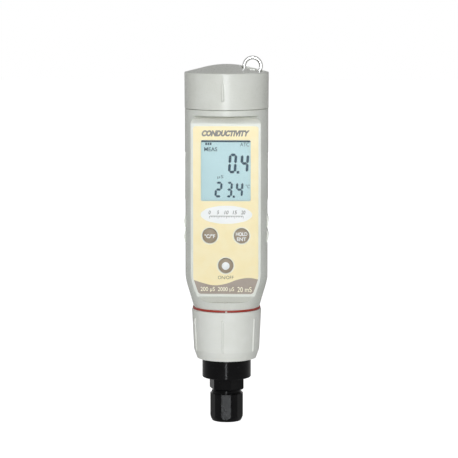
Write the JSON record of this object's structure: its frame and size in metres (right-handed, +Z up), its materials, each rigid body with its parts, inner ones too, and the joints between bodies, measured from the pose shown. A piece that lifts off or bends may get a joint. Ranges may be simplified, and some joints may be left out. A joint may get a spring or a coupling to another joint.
{
  "type": "soil conductivity meter",
  "caption": "Upright pocket conductivity meter: round barrel with a flat display front, buttons, screw battery cap, lanyard ring, screw collar and a sensor adapter with a cable gland.",
  "frame": {"origin": "centre of the gland nut's lower face, on the barrel's axis", "axes": "+Z up the barrel's axis towards the battery cap, -Y out of the display front, +X to the right of the display"},
  "size_m": [0.038, 0.0383, 0.1658],
  "materials": {
    "housing": "fine moulded grey ABS",
    "collar": "fine moulded grey ABS",
    "label": "printed polyester film",
    "window": "clear acrylic",
    "display": "reflective liquid crystal glass",
    "button": "soft moulded brown",
    "black_plastic": "moulded black nylon",
    "black_rubber": "smooth",
    "red_rubber": "smooth silicone",
    "board": "solder mask on glass laminate",
    "contact_metal": "plated spring brass",
    "steel": "nickel plated"
  },
  "bodies": {
    "body": {"body_shell": "housing", "label_overlay": "label", "display_window": "window", "lcd_panel": "display", "lcd_frame": "black_plastic", "contact_strips": "black_rubber", "circuit_board": "board", "board_chips": "black_plastic", "tactile_switches": "black_plastic", "sensor_socket": "black_plastic", "battery_holder": "black_plastic", "battery_contacts": "contact_metal", "button_cells": "steel", "holder_screws": "steel", "board_screws": "steel", "cap_seal_ring": "black_rubber", "body_seal_ring": "red_rubber"},
    "cap_contact": {"contact_bridge": "contact_metal"},
    "cap": {"battery_cap": "housing"},
    "ring": {"lanyard_ring": "steel"},
    "unit_key": {"unit_button": "button"},
    "hold_key": {"hold_button": "button"},
    "power_key": {"power_button": "button"},
    "adapter": {"sensor_adapter": "black_plastic", "contact_pins": "contact_metal", "adapter_seal_ring": "black_rubber", "gland_body": "black_plastic", "gland_nut": "black_plastic", "gland_seal": "black_rubber"},
    "collar": {"collar_nut": "collar"}
  },
  "joints": [
    {"name": "cap_lift", "type": "slide", "parent": "body", "child": "cap_contact", "axis": [0, 0, 1], "range_m": [0, 0.009]},
    {"name": "cap_spin", "type": "hinge", "parent": "cap_contact", "child": "cap", "pos_m": [0, 0, 0.15], "axis": [0, 0, 1], "range_deg": [0, 1080]},
    {"name": "ring_swing", "type": "hinge", "parent": "cap", "child": "ring", "pos_m": [0.01175, -0.0042, 0.15741], "axis": [1, 0, 0], "range_deg": [-30, 30]},
    {"name": "unit_press", "type": "slide", "parent": "body", "child": "unit_key", "axis": [0, 1, 0], "range_m": [0, 0.0004], "stiffness_N_per_m": 3500},
    {"name": "hold_press", "type": "slide", "parent": "body", "child": "hold_key", "axis": [0, 1, 0], "range_m": [0, 0.0004], "stiffness_N_per_m": 3500},
    {"name": "power_press", "type": "slide", "parent": "body", "child": "power_key", "axis": [0, 1, 0], "range_m": [0, 0.0004], "stiffness_N_per_m": 3500},
    {"name": "sensor_slide", "type": "slide", "parent": "body", "child": "adapter", "axis": [0, 0, -1], "range_m": [0, 0.009]},
    {"name": "collar_spin", "type": "hinge", "parent": "adapter", "child": "collar", "pos_m": [0, 0, 0.04], "axis": [0, 0, -1], "range_deg": [0, 1080]}
  ],
  "couplings": [
    {"joint": "cap_spin", "follows": "cap_lift", "rad_per_m": 2094.4},
    {"joint": "collar_spin", "follows": "sensor_slide", "rad_per_m": 2094.4}
  ]
}
